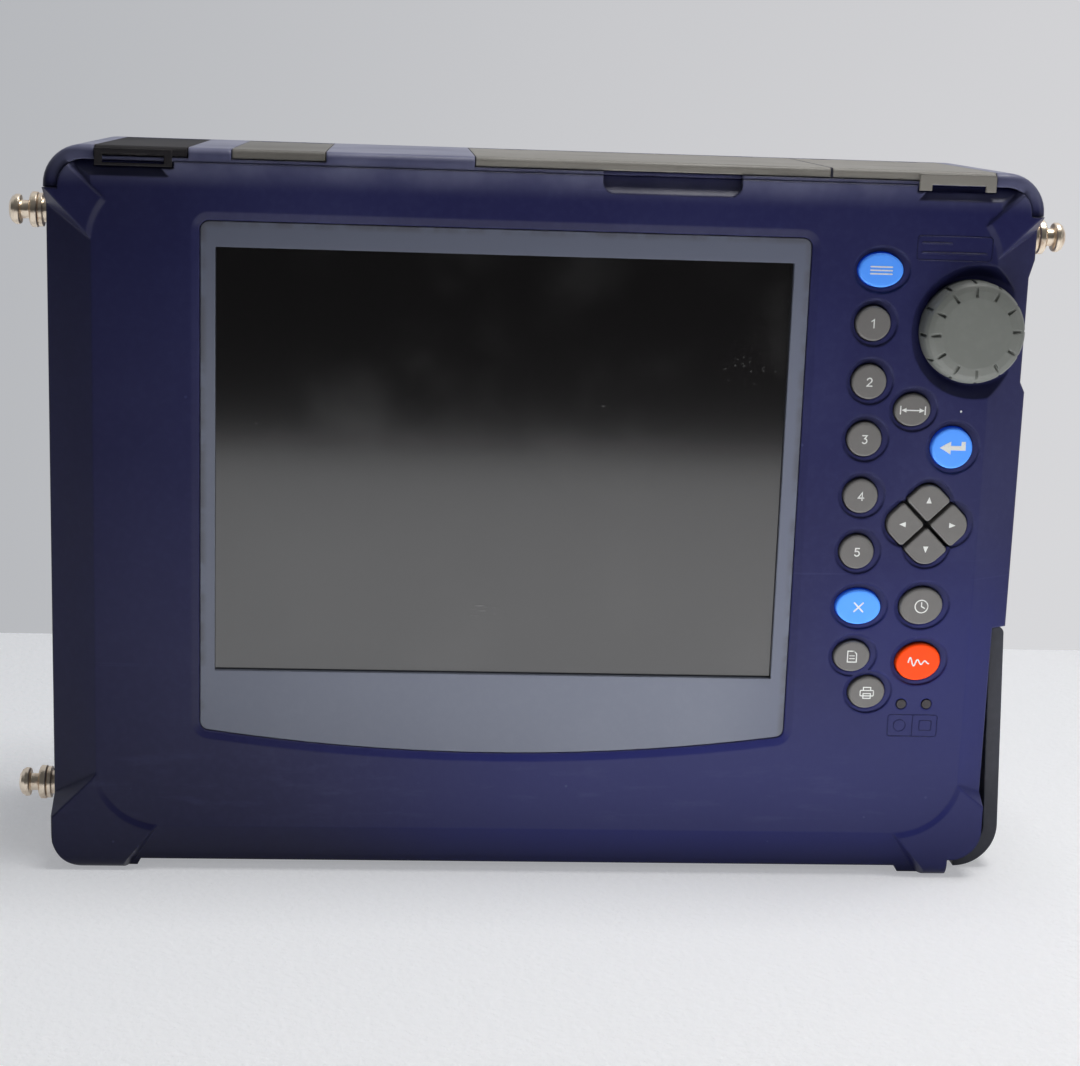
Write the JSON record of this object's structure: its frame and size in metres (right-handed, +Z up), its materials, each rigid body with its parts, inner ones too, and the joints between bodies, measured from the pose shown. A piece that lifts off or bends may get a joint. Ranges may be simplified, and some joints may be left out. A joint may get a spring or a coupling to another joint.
{
  "type": "optical time domain reflectometer",
  "caption": "Portable fibre test set: rounded blue case with corner bumpers, large display, keypad, push-and-turn knob, hinged port covers and strap studs.",
  "frame": {"origin": "on the table plane, under the middle of the overall width and of the overall depth from the knob to the back", "axes": "+X to the right as the user sees the front, +Y from the front to the back, +Z up"},
  "size_m": [0.3244, 0.0884, 0.222],
  "materials": {
    "case_blue": "fine textured moulding, satin",
    "rubber_black": "matt",
    "cover_grey": "satin",
    "door_grey": "matt",
    "panel_grey": "semi gloss printed sheet",
    "screen_glass": "gloss, dark",
    "screen_dark": "dark display",
    "sheet_steel": "satin",
    "mat_rubber": "matt",
    "board_green": "solder resist",
    "inner_black": "matt",
    "knob_grey": "satin",
    "lens_grey": "clear lens, unlit",
    "plated_metal": "nickel plate",
    "key_grey": "satin silicone",
    "key_blue": "satin silicone",
    "key_orange": "satin silicone"
  },
  "bodies": {
    "case": {"battery_cover": "case_blue", "battery_pack": "inner_black", "card_cage": "sheet_steel", "case_screw_1": "plated_metal", "case_screw_2": "plated_metal", "case_screw_3": "plated_metal", "case_screw_4": "plated_metal", "charge_lamp": "lens_grey", "charge_socket": "inner_black", "display_panel": "panel_grey", "encoder_body": "inner_black", "encoder_nut": "sheet_steel", "front_housing": "case_blue", "key_board": "board_green", "keypad_mat": "mat_rubber", "main_board": "board_green", "optical_adapter": "plated_metal", "optical_module": "sheet_steel", "power_lamp": "lens_grey", "printer_port": "plated_metal", "rear_housing": "case_blue", "screen_bracket": "sheet_steel", "screen_glass": "screen_glass", "screen_module": "screen_dark", "serial_port": "plated_metal", "strap_stud_left_high": "plated_metal", "strap_stud_left_low": "plated_metal", "strap_stud_right_high": "plated_metal", "strap_washer_left_high": "plated_metal", "strap_washer_left_low": "plated_metal", "strap_washer_right_high": "plated_metal", "top_frame": "case_blue"},
    "menu_key": {"menu_key": "key_blue"},
    "soft_key_one": {"soft_key_one": "key_grey"},
    "soft_key_two": {"soft_key_two": "key_grey"},
    "soft_key_three": {"soft_key_three": "key_grey"},
    "soft_key_four": {"soft_key_four": "key_grey"},
    "soft_key_five": {"soft_key_five": "key_grey"},
    "scale_key": {"scale_key": "key_grey"},
    "enter_key": {"enter_key": "key_blue"},
    "cancel_key": {"cancel_key": "key_blue"},
    "live_key": {"live_key": "key_grey"},
    "store_key": {"store_key": "key_grey"},
    "average_key": {"average_key": "key_orange"},
    "print_key": {"print_key": "key_grey"},
    "up_key": {"up_key": "key_grey"},
    "right_key": {"right_key": "key_grey"},
    "down_key": {"down_key": "key_grey"},
    "left_key": {"left_key": "key_grey"},
    "plunger": {"encoder_plunger": "sheet_steel"},
    "knob": {"encoder_shaft": "sheet_steel", "rotary_knob": "knob_grey"},
    "optical_cover": {"optical_cover": "rubber_black"},
    "jack_cover": {"jack_cover": "cover_grey"},
    "card_cover": {"card_cover": "cover_grey"},
    "ports_cover": {"ports_cover": "cover_grey"},
    "side_door": {"side_door": "door_grey"},
    "tilt_stand": {"tilt_stand": "door_grey"}
  },
  "joints": [
    {"name": "menu_press", "type": "slide", "parent": "case", "child": "menu_key", "axis": [0, 1, 0], "range_m": [0, 0.001], "stiffness_N_per_m": 900},
    {"name": "soft_one_press", "type": "slide", "parent": "case", "child": "soft_key_one", "axis": [0, 1, 0], "range_m": [0, 0.001], "stiffness_N_per_m": 900},
    {"name": "soft_two_press", "type": "slide", "parent": "case", "child": "soft_key_two", "axis": [0, 1, 0], "range_m": [0, 0.001], "stiffness_N_per_m": 900},
    {"name": "soft_three_press", "type": "slide", "parent": "case", "child": "soft_key_three", "axis": [0, 1, 0], "range_m": [0, 0.001], "stiffness_N_per_m": 900},
    {"name": "soft_four_press", "type": "slide", "parent": "case", "child": "soft_key_four", "axis": [0, 1, 0], "range_m": [0, 0.001], "stiffness_N_per_m": 900},
    {"name": "soft_five_press", "type": "slide", "parent": "case", "child": "soft_key_five", "axis": [0, 1, 0], "range_m": [0, 0.001], "stiffness_N_per_m": 900},
    {"name": "scale_press", "type": "slide", "parent": "case", "child": "scale_key", "axis": [0, 1, 0], "range_m": [0, 0.001], "stiffness_N_per_m": 900},
    {"name": "enter_press", "type": "slide", "parent": "case", "child": "enter_key", "axis": [0, 1, 0], "range_m": [0, 0.001], "stiffness_N_per_m": 900},
    {"name": "cancel_press", "type": "slide", "parent": "case", "child": "cancel_key", "axis": [0, 1, 0], "range_m": [0, 0.001], "stiffness_N_per_m": 900},
    {"name": "live_press", "type": "slide", "parent": "case", "child": "live_key", "axis": [0, 1, 0], "range_m": [0, 0.001], "stiffness_N_per_m": 900},
    {"name": "store_press", "type": "slide", "parent": "case", "child": "store_key", "axis": [0, 1, 0], "range_m": [0, 0.001], "stiffness_N_per_m": 900},
    {"name": "average_press", "type": "slide", "parent": "case", "child": "average_key", "axis": [0, 1, 0], "range_m": [0, 0.001], "stiffness_N_per_m": 900},
    {"name": "print_press", "type": "slide", "parent": "case", "child": "print_key", "axis": [0, 1, 0], "range_m": [0, 0.001], "stiffness_N_per_m": 900},
    {"name": "up_press", "type": "slide", "parent": "case", "child": "up_key", "axis": [0, 1, 0], "range_m": [0, 0.001], "stiffness_N_per_m": 900},
    {"name": "right_press", "type": "slide", "parent": "case", "child": "right_key", "axis": [0, 1, 0], "range_m": [0, 0.001], "stiffness_N_per_m": 900},
    {"name": "down_press", "type": "slide", "parent": "case", "child": "down_key", "axis": [0, 1, 0], "range_m": [0, 0.001], "stiffness_N_per_m": 900},
    {"name": "left_press", "type": "slide", "parent": "case", "child": "left_key", "axis": [0, 1, 0], "range_m": [0, 0.001], "stiffness_N_per_m": 900},
    {"name": "knob_push", "type": "slide", "parent": "case", "child": "plunger", "axis": [0, 1, 0], "range_m": [0, 0.0005], "stiffness_N_per_m": 4000},
    {"name": "knob_spin", "type": "hinge", "parent": "plunger", "child": "knob", "pos_m": [0.1284, -0.036, 0.1746], "axis": [0, 1, 0], "continuous": true},
    {"name": "optical_cover_hinge", "type": "hinge", "parent": "case", "child": "optical_cover", "pos_m": [-0.1199, 0.0372, 0.2203], "axis": [-1, 0, 0], "range_deg": [0, 90]},
    {"name": "jack_cover_hinge", "type": "hinge", "parent": "case", "child": "jack_cover", "pos_m": [-0.0801, 0.0372, 0.2203], "axis": [-1, 0, 0], "range_deg": [0, 90]},
    {"name": "card_cover_hinge", "type": "hinge", "parent": "case", "child": "card_cover", "pos_m": [0.03005, 0.0372, 0.2203], "axis": [-1, 0, 0], "range_deg": [0, 90]},
    {"name": "ports_cover_hinge", "type": "hinge", "parent": "case", "child": "ports_cover", "pos_m": [0.108, 0.0372, 0.2203], "axis": [-1, 0, 0], "range_deg": [0, 90]},
    {"name": "side_door_hinge", "type": "hinge", "parent": "case", "child": "side_door", "pos_m": [0.14625, 0, 0.07825], "axis": [0, -1, 0], "range_deg": [-2.6, 95]},
    {"name": "stand_hinge", "type": "hinge", "parent": "case", "child": "tilt_stand", "pos_m": [0, 0.0425, 0.1484], "axis": [1, 0, 0], "range_deg": [0, 35]}
  ]
}
